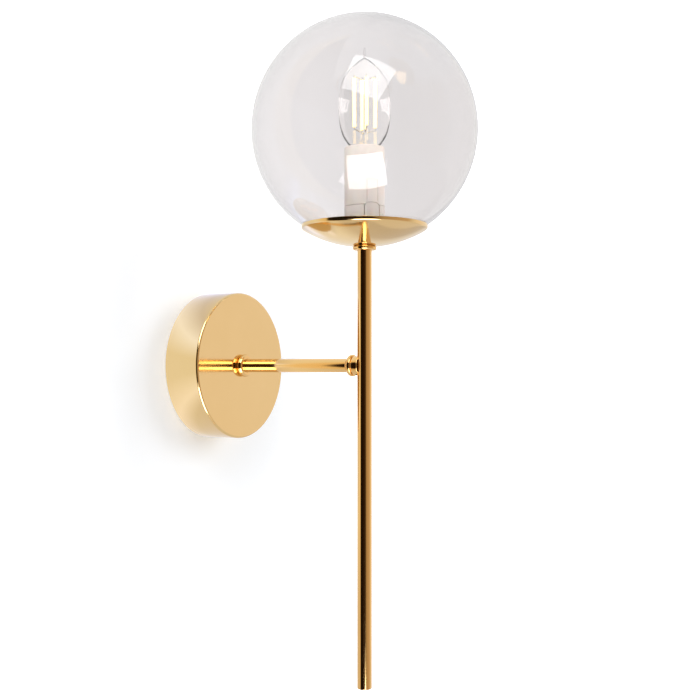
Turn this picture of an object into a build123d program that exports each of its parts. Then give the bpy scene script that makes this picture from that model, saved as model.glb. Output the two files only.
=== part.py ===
from build123d import *
from math import sqrt
import os

# Globe wall sconce, in millimetres. The wall is the plane Y = 0, the lamp stands out along -Y, +Z is up,
# and the origin is the centre of the canopy's back rim.

# canopy, a drawn cup on the wall
canopy_dia = 110.0
canopy_depth = 29.0
canopy_wall = 1.0
canopy_edge_radius = 1.7

# wall bracket inside the canopy, a steel strip with an ear bent out at each end
bracket_thickness = 1.5
bracket_width = 22.0
bracket_ear_gap = 0.3
bracket_ear_height = 18.0
bracket_bend_radius = 2.5
wall_slot_spacing = 76.0
wall_slot_width = 4.6
wall_slot_length = 14.0
cable_hole_dia = 11.0
canopy_screw_out = 12.0
earth_screw_below = 13.0

# arm, a tube threaded at both ends
arm_length = 105.0
arm_dia = 10.0
arm_wall = 1.5
thread_clearance = 0.05
thread_stand_out = 1.2
canopy_collar_dia = 17.0
canopy_collar_thickness = 4.6
star_washer_dia = 17.0
star_washer_thickness = 1.0
star_washer_teeth = 12
star_washer_notch = 1.34
tag_thickness = 0.8
tag_width = 5.0
tag_border = 3.0
screw_tag_border = 2.0
tag_barrel_length = 5.0
tag_barrel_wall = 0.5
nut_across_flats = 14.0
locknut_thickness = 4.0

# where the arm meets the rod
end_ring_dia = 15.6
end_ring_thickness = 4.8
end_ring_foot_border = 0.5
end_ring_swell = 2.16
end_ring_back_radius = 1.44
end_ring_front_radius = 0.96
saddle_dia = 13.8
saddle_thickness = 3.0
saddle_wrap = 2.2
saddle_back_radius = 0.75
saddle_front_radius = 0.5
wire_hole_dia = 7.4
braze_gap = 0.03

# rod, a tube that hangs below the arm and carries the dish above it
rod_dia = 10.4
rod_wall = 1.5
rod_below_arm = 227.5
rod_thread_dia = 10.0
plug_head_thickness = 1.0
plug_shank_length = 7.0
plug_fit = 0.04
plug_bevel = 0.3

# dish and the pieces that clamp it to the rod
dish_dia = 89.2
dish_wall = 1.0
dish_flatter_by = 5.9
dish_height = 83.9
dish_lip_stock = 0.3
dish_bend_radius = 1.6
dish_seat_dia = 18.0
dish_rim_gap = 0.3
top_collar_dia = 16.9
top_collar_thickness = 3.2
dish_washer_dia = 17.0
dish_washer_thickness = 1.0
dish_nut_thickness = 3.0

# glass globe and the soft ring that it stands on
globe_dia = 159.0
globe_foot_gap = 0.8
globe_wall = 1.8
globe_hole_dia = 48.0
globe_rim_radius = 0.54
gasket_inner_dia = 68.0
gasket_outer_dia = 83.0
gasket_seat_gap = 0.05
globe_seat_gap = 0.3

# lampholder, a cap and a sleeve that snap together round a core
holder_dia = 28.5
holder_wall = 1.6
holder_cap_height = 22.3
holder_neck_dia = 16.5
holder_neck_height = 7.6
holder_shoulder_height = 9.0
holder_shoulder_start = 2.7
holder_shoulder_radius = 3.0
holder_seam_gap = 0.3
sleeve_height = 41.8
sleeve_mouth_dia = 22.6
sleeve_mouth_thickness = 1.2
sleeve_edge_radius = 0.9
spigot_height = 1.8
spigot_wall = 1.3
spigot_clearance = 0.1
latch_direction = 231.0
finger_width = 10.4
finger_rise = 1.5
finger_drop = 9.0
finger_slit = 0.7
finger_corner_radius = 3.0
latch_clearance = 0.35
latch_panel_width = 7.6
latch_panel_height = 14.3
latch_panel_lift = 1.0
latch_groove_width = 0.6
latch_groove_depth = 0.7
core_thickness = 8.0
core_clearance = 0.25
contact_thickness = 0.4
contact_width = 3.6
contact_rise = 3.0
contact_gap = 0.3
contact_tail = 2.0
contact_bend_radius = 0.8
contact_bend_above = 0.9
contact_bend_off_axis = 0.3
side_contact_bend_radius = 0.6
pocket_clearance = 0.35
live_pocket_inner = 2.0
neutral_pocket_inner = 5.7
shell_clearance = 0.35
shell_wall = 0.4
shell_foot_inner_dia = 10.6
shell_foot_outer_dia = 19.0

# bulb, a clear candle on a 14 mm screw cap of 2.82 mm pitch
bulb_length = 100.0
bulb_dia = 37.0
bulb_widest_above_cap = 31.5
bulb_glass_wall = 0.8
bulb_pip_dia = 2.2
bulb_pip_length = 7.5
bulb_pip_tip_dia = 1.32
bulb_pip_tip_radius = 0.5
thread_pitch = 2.82
turns_held = 4.0
cap_thread_dia = 13.9
cap_hole_dia = 5.6
cap_wall = 0.3
cap_height = 23.2
cap_skirt_dia = 15.4
cap_skirt_height = 4.5
foot_contact_dia = 4.8
foot_contact_height = 1.0
foot_contact_tip_dia = 2.88
foot_contact_rim = 0.5
rivet_dia = 1.6
insulator_height = 1.7
insulator_dia = 11.2
insulator_tip_dia = 8.96
turning_gap = 0.06
cap_flare_height = 1.0
glass_in_cap_clearance = 0.35
stem_base_dia = 10.4
stem_tip_dia = 3.2
stem_height = 18.0
stem_waist_dia = 8.32
stem_waist_height = 8.1
stem_neck_height = 12.6
stem_waist_radius = 6.0
stem_neck_radius = 3.0
stem_tip_height = 1.0
post_dia = 1.4
filament_dia = 1.8
filament_length = 32.0
filament_ring_dia = 12.2
filament_lift = 2.6
filament_count = 4
filament_first_angle = 40.0
support_wire_dia = 0.6
support_gap = 0.25
support_wire_sides = 6
support_bend_height = 1.0
support_foot_rise = 1.04

# the candle's side, as shares of its widest radius and of the heights from cap to widest place to crown
candle_low_width = 0.69
candle_low_height = 0.225
candle_high_width = 0.735
candle_high_height = 0.637

# wiring
wire_dia = 2.2
wire_sides = 8
wire_spread = 1.35
wire_back_of_rod = 1.5
wire_bend_radius = 11.0
wire_turn_radius = 5.0
wire_turn_in_holder = 1.0
terminal_pitch = 9.0
terminal_depth = 10.0
terminal_height = 17.0
terminal_above = 17.5
terminal_floor = 1.9
terminal_insert_side = 4.4
terminal_insert_bore = 2.8
terminal_screw_offset = 5.3
terminal_rib_wall = 0.5
terminal_rib_height = 3.0
terminal_fit = 0.05
terminal_corner_radius = 1.5

# screws
canopy_screw_dia = 4.0
canopy_screw_length = 8.0
canopy_screw_sunk = 0.1
earth_screw_head_dia = 8.0
earth_screw_head = 2.6
small_screw_dia = 2.5
small_screw_head_dia = 4.6
small_screw_head = 1.6
screw_slot_width = 0.9
screw_slot_depth = 0.8
screw_clearance = 0.25
seat_gap = 0.05

# places that follow from the sizes above; depths run out from the wall, heights run up from the arm
canopy_inner_face = canopy_depth - canopy_wall
canopy_inner_radius = canopy_dia / 2 - canopy_wall
arm_radius = arm_dia / 2
arm_bore = arm_radius - arm_wall
washer_back = canopy_inner_face - star_washer_thickness
tag_back = washer_back - tag_thickness
locknut_back = tag_back - locknut_thickness
arm_start = locknut_back - thread_stand_out
rod_radius = rod_dia / 2
rod_bore = rod_radius - rod_wall
rod_thread = rod_thread_dia / 2
rod_out = canopy_depth + arm_length
saddle_back = rod_out - rod_radius - saddle_thickness
end_ring_back = saddle_back - end_ring_thickness
globe_radius = globe_dia / 2
globe_height = dish_height + dish_wall + globe_foot_gap + globe_radius
dish_inner_curve = globe_radius + dish_flatter_by
dish_curve_radius = dish_inner_curve + dish_wall
dish_centre = dish_height + dish_curve_radius
dish_lip_sphere = globe_radius + dish_rim_gap
dish_lip_top = globe_height - sqrt(dish_lip_sphere**2 - (dish_dia / 2) ** 2) + dish_lip_stock
dish_seat = dish_centre - sqrt(dish_curve_radius**2 - (dish_seat_dia / 2) ** 2)
dish_floor = dish_seat + dish_wall
collar_bottom = dish_seat - top_collar_thickness
holder_bottom = dish_floor + dish_washer_thickness + dish_nut_thickness
holder_seam = holder_bottom + holder_cap_height
holder_top = holder_seam + sleeve_height
holder_radius = holder_dia / 2
holder_inner = holder_radius - holder_wall
neck_top = holder_bottom + holder_neck_height
spigot_outer = holder_inner - spigot_clearance
spigot_inner = spigot_outer - spigot_wall
spigot_top = holder_seam + spigot_height
core_top = spigot_top + core_thickness
contact_top = core_top + contact_rise
pocket_width = contact_width + 2 * pocket_clearance
pocket_length = contact_thickness + wire_dia + 2 * pocket_clearance
live_wire_x = live_pocket_inner + pocket_length - pocket_clearance / 2 - wire_dia / 2
neutral_wire_x = neutral_pocket_inner + pocket_length - pocket_clearance / 2 - wire_dia / 2
bulb_foot = contact_top + contact_gap
bulb_tip = bulb_foot + bulb_length
insulator_bottom = bulb_foot + foot_contact_height
cap_bottom = insulator_bottom + insulator_height
cap_top = cap_bottom + cap_height
cap_radius = cap_thread_dia / 2
shell_inner = cap_radius + shell_clearance
shell_outer = shell_inner + shell_wall
shell_top = cap_bottom + turns_held * thread_pitch
skirt_low = cap_top - cap_skirt_height
glass_bottom = skirt_low + cap_flare_height + seat_gap
glass_neck = cap_skirt_dia / 2 - cap_wall - glass_in_cap_clearance
stem_top = glass_bottom + bulb_glass_wall + stem_height
filament_bottom = stem_top + filament_lift
filament_top = filament_bottom + filament_length
post_top = filament_top + support_wire_dia
terminal_front = bracket_thickness + terminal_depth
terminal_axis = bracket_thickness + terminal_floor + terminal_insert_side / 2
terminal_head_seat = terminal_axis + terminal_insert_side / 2 + seat_gap
tag_wire_height = tag_thickness + wire_dia / 2 + seat_gap


def turned(corners, radii=None):
    """A solid turned about Z from a closed outline of (radius, height) corners, some of them rounded."""
    if radii:
        outline = FilletPolyline(*corners, radius=radii, close=True)
    else:
        outline = Polyline(*corners, close=True)
    return revolve(Plane.XZ * make_face(outline), Axis.Z)


def ring(inner, outer, low, high):
    """A plain ring about Z."""
    return turned([(inner, low), (outer, low), (outer, high), (inner, high)])


def bar(radius, low, high):
    """A round bar about Z."""
    return Pos(0, 0, low) * Cylinder(radius, high - low, align=(Align.CENTER, Align.CENTER, Align.MIN))


def on_arm(shape):
    """Lays a piece built up from Z = 0 out along the arm, its Y becoming height."""
    return Rot(90, 0, 0) * shape


def on_rod(shape):
    """Moves a piece built about Z to the rod's axis."""
    return Pos(0, -rod_out, 0) * shape


def rounded_ring(bore, dia, low, high):
    """A turned ring whose rim is rounded nearly to a half circle."""
    rim = 0.46 * (high - low)
    return turned([(bore, low), (dia / 2, low), (dia / 2, high), (bore, high)], [0.0, rim, rim, 0.0])


def hex_nut(bore, flats, low, thickness):
    """A thin hexagon nut with turned corners."""
    corner = flats / sqrt(3)
    bevel = (corner - flats / 2) / 2
    high = low + thickness
    corners = [
        (bore, low),
        (flats / 2, low),
        (corner, low + bevel),
        (corner, high - bevel),
        (flats / 2, high),
        (bore, high),
    ]
    lens = turned(corners)
    return lens & Pos(0, 0, low) * extrude(RegularPolygon(flats / 2, 6, major_radius=False), thickness)


def slotted_screw(dia, length, head_dia, head):
    """A slotted screw whose head stands on Z = 0 and whose shank runs down from there."""
    corners = [
        (0, -length),
        (dia / 2, -length),
        (dia / 2, 0),
        (head_dia / 2, 0),
        (head_dia / 2, head),
        (0, head),
    ]
    return turned(corners) - Pos(0, 0, head) * Box(2 * head_dia, screw_slot_width, 2 * screw_slot_depth)


def wire_section(path):
    """The wire's section at the start of its path, round but for its few flats."""
    return Plane(path @ 0, x_dir=(1, 0, 0), z_dir=path % 0) * RegularPolygon(wire_dia / 2, wire_sides)


def wire_along(points, radii):
    """A wire along straight runs joined by arcs."""
    path = FilletPolyline(*points, radius=radii)
    return sweep(wire_section(path), path)


def bent_strip(points, radii):
    """A contact strip bent in the plane of X and Z, its width along Y."""
    path = FilletPolyline(*points, radius=radii)
    section = Plane(path @ 0, x_dir=(0, 1, 0), z_dir=path % 0) * Rectangle(contact_width, contact_thickness)
    return sweep(section, path)


# the canopy and what it hides


def make_canopy():
    """Cup with a rounded front edge, a hole for the arm and a screw hole above and below."""
    outer = canopy_dia / 2
    hole = arm_radius + screw_clearance
    corners = [
        (hole, canopy_inner_face),
        (canopy_inner_radius, canopy_inner_face),
        (canopy_inner_radius, 0),
        (outer, 0),
        (outer, canopy_depth),
        (hole, canopy_depth),
    ]
    cup = turned(corners, [0.0, 0.0, 0.0, 0.0, canopy_edge_radius, 0.0])
    across = Rot(90, 0, 0) * Cylinder(canopy_screw_dia / 2 + screw_clearance, 2 * canopy_dia)
    return on_arm(cup - Pos(0, 0, canopy_screw_out) * across)


def bracket_reach():
    """How far up and down the bracket's ears stand, just inside the cup at their corners."""
    return sqrt(canopy_inner_radius**2 - (bracket_width / 2) ** 2) - bracket_ear_gap


def make_wall_bracket():
    """Strip across the cup's back, with slots for the wall screws and tapped holes for the rest."""
    reach = bracket_reach()
    inside = reach - bracket_thickness
    outer_bend = bracket_bend_radius
    inner_bend = bracket_bend_radius - bracket_thickness
    corners = [
        (-reach, bracket_ear_height),
        (-reach, 0),
        (reach, 0),
        (reach, bracket_ear_height),
        (inside, bracket_ear_height),
        (inside, bracket_thickness),
        (-inside, bracket_thickness),
        (-inside, bracket_ear_height),
    ]
    outline = FilletPolyline(
        *corners, radius=[0.0, outer_bend, outer_bend, 0.0, 0.0, inner_bend, inner_bend, 0.0], close=True
    )
    # the outline runs along Z and outwards from the wall, and the strip's width along X
    side = Plane(origin=(0, 0, 0), x_dir=(0, 0, 1), z_dir=(1, 0, 0)) * make_face(outline)
    strip = extrude(side, bracket_width / 2, both=True)
    tapped = canopy_screw_dia / 2 + thread_clearance
    slot_face = Rot(0, 0, 90) * SlotOverall(wall_slot_length, wall_slot_width)
    slot = extrude(slot_face, 2 * bracket_thickness, both=True)
    holes = [
        Pos(0, wall_slot_spacing / 2, 0) * slot,
        Pos(0, -wall_slot_spacing / 2, 0) * slot,
        Cylinder(cable_hole_dia / 2, 4 * bracket_thickness),
        Pos(0, -earth_screw_below, 0) * Cylinder(tapped, 4 * bracket_thickness),
        Pos(terminal_pitch / 2, terminal_above, 0)
        * Cylinder(small_screw_dia / 2 + thread_clearance, 4 * bracket_thickness),
        Pos(0, 0, canopy_screw_out) * Rot(90, 0, 0) * Cylinder(tapped, 2 * canopy_dia),
    ]
    return strip - [on_arm(hole) for hole in holes]


def make_canopy_screws():
    """Headless screws in the bracket's ears, backed out into the canopy's holes above and below."""
    slot = Box(2 * canopy_screw_dia, screw_slot_width, 2 * screw_slot_depth)
    one = bar(canopy_screw_dia / 2, -canopy_screw_length, 0) - slot
    end = canopy_dia / 2 - canopy_screw_sunk
    top = Pos(0, -canopy_screw_out, end) * one
    bottom = Pos(0, -canopy_screw_out, -end) * Rot(180, 0, 0) * one
    return [top, bottom]


def crimp_tag(hole, border):
    """Cut from sheet at Z = 0: a ring, a tongue along -Y and a barrel rolled round the wire."""
    outer = hole + border
    barrel_outer = wire_dia / 2 + tag_barrel_wall
    tongue = Pos(0, -outer, tag_thickness / 2) * Box(tag_width, 2 * border, tag_thickness)
    barrel = ring(wire_dia / 2 + seat_gap, barrel_outer, 0, tag_barrel_length)
    placed = Pos(0, -outer - border / 2, tag_wire_height) * Rot(90, 0, 0) * barrel
    plate = ring(hole, outer, 0, tag_thickness) + tongue - bar(hole, -tag_thickness, 2 * tag_thickness)
    return plate + placed


def tag_wire_start(hole, border):
    """How far below a tag's hole its wire begins."""
    return hole + border + border / 2


def make_earth_screw():
    """Earth screw in the bracket, above its tag."""
    seat = bracket_thickness + tag_thickness + seat_gap
    one = slotted_screw(canopy_screw_dia, seat, earth_screw_head_dia, earth_screw_head)
    return on_arm(Pos(0, -earth_screw_below, seat) * one)


def make_earth_tag():
    """Ring tag under the earth screw's head."""
    tag = crimp_tag(canopy_screw_dia / 2 + seat_gap, screw_tag_border)
    return on_arm(Pos(0, -earth_screw_below, bracket_thickness) * tag)


def make_terminal_block():
    """Three-way connector: a body with a way through for each brass insert and two ribs round the screws."""
    body = Pos(0, terminal_above, bracket_thickness) * extrude(
        RectangleRounded(3 * terminal_pitch, terminal_height, terminal_corner_radius), terminal_depth
    )
    well = small_screw_head_dia / 2 + seat_gap
    rib = Box(3 * terminal_pitch, 2 * (well + terminal_rib_wall), terminal_rib_height)
    for row in (-1, 1):
        height = terminal_above + row * terminal_screw_offset
        body += Pos(0, height, terminal_front + terminal_rib_height / 2) * rib
    body -= [place * bar(well, terminal_axis, 2 * terminal_front) for place in terminal_screw_places()]
    side = terminal_insert_side + 2 * terminal_fit
    channel = Box(side, 2 * terminal_height, side)
    for pole in (-1, 0, 1):
        body -= Pos(pole * terminal_pitch, terminal_above, terminal_axis) * channel
    body -= Pos(terminal_pitch / 2, terminal_above, 0) * bar(
        small_screw_dia / 2 + screw_clearance, 0, 2 * terminal_front
    )
    return on_arm(body)


def terminal_screw_places():
    """Where the connector's six clamp screws stand, in height and across."""
    return [
        Pos(pole * terminal_pitch, terminal_above + row * terminal_screw_offset, 0)
        for pole in (-1, 0, 1)
        for row in (-1, 1)
    ]


def make_terminal_inserts():
    """Square brass bars in the connector, bored for the wires and each tapped twice for its clamp screws."""
    bore = Rot(90, 0, 0) * Cylinder(terminal_insert_bore / 2, 2 * terminal_height)
    tube = Box(terminal_insert_side, terminal_height - terminal_rib_wall, terminal_insert_side) - bore
    inserts = [Pos(pole * terminal_pitch, terminal_above, terminal_axis) * tube for pole in (-1, 0, 1)]
    tapped = [
        place * bar(small_screw_dia / 2 + thread_clearance, terminal_axis, terminal_front)
        for place in terminal_screw_places()
    ]
    return [on_arm(insert - tapped) for insert in inserts]


def make_terminal_screws():
    """Six clamp screws, driven down to the wires."""
    tip = terminal_axis + wire_dia / 2 + seat_gap
    one = slotted_screw(small_screw_dia, terminal_head_seat - tip, small_screw_head_dia, small_screw_head)
    return [on_arm(place * Pos(0, 0, terminal_head_seat) * one) for place in terminal_screw_places()]


def make_terminal_block_screw():
    """The screw between two poles that holds the connector on the bracket."""
    one = slotted_screw(small_screw_dia, terminal_front, small_screw_head_dia, small_screw_head)
    return on_arm(Pos(terminal_pitch / 2, terminal_above, terminal_front + seat_gap) * one)


# the arm


def make_arm_tube():
    """Tube from inside the canopy to the rod, square at both ends."""
    return on_arm(ring(arm_bore, arm_radius, arm_start, rod_out - rod_radius - seat_gap))


def make_canopy_collar():
    """Turned ring that closes the hole where the arm leaves the canopy."""
    low = canopy_depth
    return on_arm(
        rounded_ring(arm_radius + thread_clearance, canopy_collar_dia, low, low + canopy_collar_thickness)
    )


def make_arm_star_washer():
    """Toothed washer that bites the canopy's inner face."""
    washer = ring(arm_radius + thread_clearance, star_washer_dia / 2, washer_back, canopy_inner_face)
    block = Box(2 * star_washer_notch, star_washer_notch, 4 * star_washer_thickness)
    notch = Pos(star_washer_dia / 2, 0, canopy_inner_face) * block
    turns = [turn * 360 / star_washer_teeth for turn in range(star_washer_teeth)]
    return on_arm(washer - [Rot(0, 0, turn) * notch for turn in turns])


def make_arm_earth_tag():
    """Ring tag between the toothed washer and the locknut."""
    return on_arm(
        Pos(0, 0, washer_back) * Rot(0, 180, 0) * crimp_tag(arm_radius + thread_clearance, tag_border)
    )


def make_arm_locknut():
    """Nut on the arm's inner thread, which draws the collar against the canopy."""
    return on_arm(hex_nut(arm_radius + thread_clearance, nut_across_flats, locknut_back, locknut_thickness))


def make_arm_end_ring():
    """Lock ring on the arm's outer thread, swelling towards the rod, tight against the saddle."""
    bore = arm_radius + thread_clearance
    outer = end_ring_dia / 2
    corners = [
        (bore, end_ring_back),
        (bore + end_ring_foot_border, end_ring_back),
        (outer, end_ring_back + end_ring_swell),
        (outer, saddle_back),
        (bore, saddle_back),
    ]
    return on_arm(turned(corners, [0.0, 0.0, end_ring_back_radius, end_ring_front_radius, 0.0]))


def make_rod_saddle():
    """Turned boss, hollowed to fit the rod and brazed to it, into which the arm screws."""
    bore = arm_radius + thread_clearance
    outer = saddle_dia / 2
    low = saddle_back
    high = rod_out - rod_radius + saddle_wrap
    corners = [(bore, low), (outer, low), (outer, high), (bore, high)]
    boss = turned(corners, [0.0, saddle_back_radius, saddle_front_radius, 0.0])
    return on_arm(boss) - on_rod(Cylinder(rod_radius + braze_gap, 4 * saddle_dia))


# the rod and the dish


def make_rod_tube():
    """Tube with a wire hole behind, its top turned down and threaded for the dish and the lampholder."""
    bottom = -rod_below_arm + plug_head_thickness
    top = neck_top - thread_stand_out
    corners = [
        (rod_bore, bottom),
        (rod_radius, bottom),
        (rod_radius, collar_bottom),
        (rod_thread, collar_bottom),
        (rod_thread, top),
        (rod_bore, top),
    ]
    wire_hole = Pos(0, rod_radius, 0) * Rot(90, 0, 0) * Cylinder(wire_hole_dia / 2, 2 * rod_radius)
    return on_rod(turned(corners) - wire_hole)


def make_rod_end_plug():
    """Flat plug pressed into the rod's lower end."""
    bottom = -rod_below_arm
    head = bottom + plug_head_thickness
    shank = rod_bore - plug_fit
    corners = [
        (0, bottom),
        (rod_radius - plug_bevel, bottom),
        (rod_radius, bottom + plug_bevel),
        (rod_radius, head),
        (shank, head),
        (shank, head + plug_shank_length),
        (0, head + plug_shank_length),
    ]
    return on_rod(turned(corners))


def make_top_collar():
    """Turned ring on the rod's shoulder, under the dish."""
    return on_rod(rounded_ring(rod_thread + thread_clearance, top_collar_dia, collar_bottom, dish_seat))


def make_dish():
    """Spun shallow dish: flat seat, round belly, and a short upright lip bevelled to the glass."""
    outer = dish_dia / 2
    inner = outer - dish_wall
    bore = rod_thread + thread_clearance
    belly = Pos(0, 0, dish_centre) * (Sphere(dish_curve_radius) - Sphere(dish_inner_curve))
    wall_low = dish_centre - sqrt(dish_curve_radius**2 - outer**2)
    middle = (wall_low + dish_lip_top) / 2
    belly &= ring(bore, outer, dish_seat, middle)
    floor_radius = sqrt(dish_inner_curve**2 - (dish_centre - dish_floor) ** 2)
    cup = belly + ring(bore, floor_radius, dish_seat, dish_floor)
    cup += ring(inner, outer, wall_low + dish_wall, dish_lip_top)
    corner = [e for e in cup.edges().filter_by(GeomType.CIRCLE) if abs(e.arc_center.Z - wall_low) < 0.01]
    cup = fillet(corner, dish_bend_radius)
    return on_rod(cup - Pos(0, 0, globe_height) * Sphere(dish_lip_sphere))


def make_dish_washer():
    """Flat washer on the dish's floor."""
    high = dish_floor + dish_washer_thickness
    return on_rod(ring(rod_thread + thread_clearance, dish_washer_dia / 2, dish_floor, high))


def make_dish_nut():
    """Nut that clamps washer, dish and collar on the rod's shoulder."""
    low = dish_floor + dish_washer_thickness
    return on_rod(hex_nut(rod_thread + thread_clearance, nut_across_flats, low, dish_nut_thickness))


# the globe


def make_globe_gasket():
    """Soft ring laid in the dish, hollowed to the ball that stands on it."""
    band = ring(gasket_inner_dia / 2, gasket_outer_dia / 2, dish_height, dish_lip_top)
    in_dish = Pos(0, 0, dish_centre) * Sphere(dish_inner_curve - gasket_seat_gap)
    under_globe = Pos(0, 0, globe_height) * Sphere(globe_radius + globe_seat_gap)
    return on_rod((band & in_dish) - under_globe)


def make_globe():
    """Blown ball with one round hole below, its edge polished."""
    shell = Sphere(globe_radius) - Sphere(globe_radius - globe_wall)
    mouth = bar(globe_hole_dia / 2, -2 * globe_radius, 0)
    ball = shell - mouth
    rim = [e for e in ball.edges().filter_by(GeomType.CIRCLE) if abs(e.radius - globe_hole_dia / 2) < 0.01]
    return on_rod(Pos(0, 0, globe_height) * fillet(rim, globe_rim_radius))


# the lampholder


def latch_prism(width, low, high, corner):
    """A round-topped block through the holder's wall on the side of its snap finger."""
    face = Pos(0, (low + high) / 2) * Rectangle(width, high - low)
    if corner:
        face = fillet(face.vertices().group_by(Axis.Y)[-1], corner)
    block = extrude(Plane.XZ * face, 2 * holder_radius)
    return Rot(0, 0, latch_direction + 90) * block


def make_holder_cap():
    """Cap screwed on the rod's thread, with a spigot for the sleeve and a finger between two slits."""
    cavity = neck_top + holder_shoulder_start
    corners = [
        (rod_thread + thread_clearance, holder_bottom),
        (holder_neck_dia / 2, holder_bottom),
        (holder_neck_dia / 2, holder_bottom + holder_shoulder_start),
        (holder_radius, holder_bottom + holder_shoulder_height),
        (holder_radius, holder_seam),
        (spigot_outer, holder_seam),
        (spigot_outer, spigot_top),
        (spigot_inner, spigot_top),
        (spigot_inner, holder_seam - holder_wall),
        (holder_inner, holder_seam - 2 * holder_wall),
        (holder_inner, cavity),
        (holder_neck_dia / 2, neck_top),
        (rod_thread + thread_clearance, neck_top),
    ]
    bends = [0.0] * len(corners)
    bends[3] = holder_shoulder_radius
    cap = turned(corners, bends)
    low = holder_seam - finger_drop
    high = holder_seam + finger_rise
    slit_top = spigot_top + spigot_wall
    slit_face = Pos(0, (low + slit_top) / 2) * Rectangle(finger_slit, slit_top - low)
    for side in (-1, 1):
        face = Pos(side * (finger_width + finger_slit) / 2, 0) * slit_face
        cap -= Rot(0, 0, latch_direction + 90) * extrude(Plane.XZ * face, 2 * holder_radius)
    tip = ring(spigot_outer - spigot_wall / 2, holder_radius, holder_seam - finger_rise, high)
    return on_rod(cap + (tip & latch_prism(finger_width, low, high, finger_corner_radius)))


def make_holder_sleeve():
    """Plain sleeve with a lip at its mouth, a notch for the finger and a grooved release panel above it."""
    lip = holder_top - sleeve_mouth_thickness
    foot = holder_seam + holder_seam_gap
    corners = [
        (holder_inner, foot),
        (holder_radius, foot),
        (holder_radius, holder_top),
        (sleeve_mouth_dia / 2, holder_top),
        (sleeve_mouth_dia / 2, lip),
        (holder_inner, lip),
    ]
    sleeve = turned(corners, [0.0, 0.0, sleeve_edge_radius, 0.0, 0.0, 0.0])
    notch_width = finger_width + 2 * latch_clearance
    notch_top = holder_seam + finger_rise + latch_clearance
    notch_radius = finger_corner_radius + latch_clearance
    notch = latch_prism(notch_width, holder_seam - finger_drop, notch_top, notch_radius)
    panel_low = notch_top + latch_panel_lift
    panel_top = panel_low + latch_panel_height
    frame_width = latch_panel_width + 2 * latch_groove_width
    frame = latch_prism(frame_width, panel_low, panel_top + latch_groove_width, 0)
    frame -= latch_prism(latch_panel_width, panel_low, panel_top, 0)
    skin = ring(holder_radius - latch_groove_depth, 2 * holder_radius, holder_seam, holder_top)
    return on_rod(sleeve - notch - (frame & skin))


def make_holder_core():
    """Insulating disc with a pocket for each wire and its contact."""
    core = bar(holder_inner - core_clearance, spigot_top, core_top)
    for inner, side in ((live_pocket_inner, 1), (neutral_pocket_inner, -1)):
        pocket = Box(pocket_length, pocket_width, 4 * core_thickness)
        core -= Pos(side * (inner + pocket_length / 2), 0, spigot_top) * pocket
    return on_rod(core)


def make_holder_screw_shell():
    """Drawn shell that takes the bulb's thread, its foot lying on the core."""
    corners = [
        (shell_foot_inner_dia / 2, core_top),
        (shell_foot_outer_dia / 2, core_top),
        (shell_foot_outer_dia / 2, core_top + shell_wall),
        (shell_outer, core_top + shell_wall),
        (shell_outer, shell_top),
        (shell_inner, shell_top),
        (shell_inner, core_top + shell_wall),
        (shell_foot_inner_dia / 2, core_top + shell_wall),
    ]
    return on_rod(turned(corners))


def make_holder_centre_contact():
    """Springy strip from the live wire's pocket to the middle of the bulb's foot."""
    leg = live_pocket_inner + pocket_clearance / 2 + contact_thickness / 2
    leaf = contact_top - contact_thickness / 2
    points = [
        (leg, 0, spigot_top + contact_tail),
        (leg, 0, core_top + contact_bend_above),
        (contact_bend_off_axis, 0, leaf),
        (-foot_contact_dia / 2, 0, leaf),
    ]
    return on_rod(bent_strip(points, [contact_bend_radius, contact_bend_radius]))


def make_holder_side_contact():
    """Strip from the neutral wire's pocket to the underside of the shell's foot."""
    leg = neutral_pocket_inner + pocket_clearance / 2 + contact_thickness / 2
    flange = core_top - contact_thickness / 2
    end = neutral_pocket_inner + pocket_length - pocket_clearance
    points = [(-leg, 0, spigot_top + contact_tail), (-leg, 0, flange), (-end, 0, flange)]
    return on_rod(bent_strip(points, [side_contact_bend_radius]))


# the bulb


def candle(inset):
    """The candle's solid of revolution, taken in by a wall's thickness, without its drawn-out tip."""
    neck = glass_neck - inset
    widest = bulb_dia / 2 - inset
    belly = cap_top + bulb_widest_above_cap
    crown = bulb_tip - bulb_pip_length - inset
    side = Spline(
        (neck, cap_top),
        (candle_low_width * widest, cap_top + candle_low_height * bulb_widest_above_cap),
        (widest, belly),
        (candle_high_width * widest, belly + candle_high_height * (crown - belly)),
        (0, crown),
        tangents=[(0, 1), (0.6, 0.8), (0, 1), (-0.64, 0.77), (-0.78, 0.62)],
    )
    foot = glass_bottom + inset
    rest = [Line((0, foot), (neck, foot)), Line((neck, foot), side @ 0), Line((0, crown), (0, foot))]
    return revolve(Plane.XZ * make_face(rest + [side]), Axis.Z)


def make_bulb_glass():
    """Clear candle envelope with the pip where it was pumped out and sealed."""
    root = bulb_tip - bulb_pip_length - bulb_glass_wall
    pip_radius = bulb_pip_dia / 2
    corners = [(0, root), (pip_radius, root), (bulb_pip_tip_dia / 2, bulb_tip), (0, bulb_tip)]
    pip = turned(corners, [0, 0, bulb_pip_tip_radius, 0])
    return on_rod(candle(0) + pip - candle(bulb_glass_wall))


def make_bulb_stem():
    """Glass stem standing on the envelope's foot, drawn to a thin post between the filaments."""
    base = glass_bottom + bulb_glass_wall + support_gap
    corners = [
        (0, base),
        (stem_base_dia / 2, base),
        (stem_waist_dia / 2, base + stem_waist_height),
        (stem_tip_dia / 2, base + stem_neck_height),
        (stem_tip_dia / 2, stem_top),
        (post_dia / 2, stem_top + stem_tip_height),
        (post_dia / 2, post_top),
        (0, post_top),
    ]
    return on_rod(turned(corners, [0.0, 0.0, stem_waist_radius, stem_neck_radius, 0.0, 0.0, 0.0, 0.0]))


def filament_angles():
    """The directions of the filaments round the post."""
    return [filament_first_angle + turn * 360 / filament_count for turn in range(filament_count)]


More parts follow.
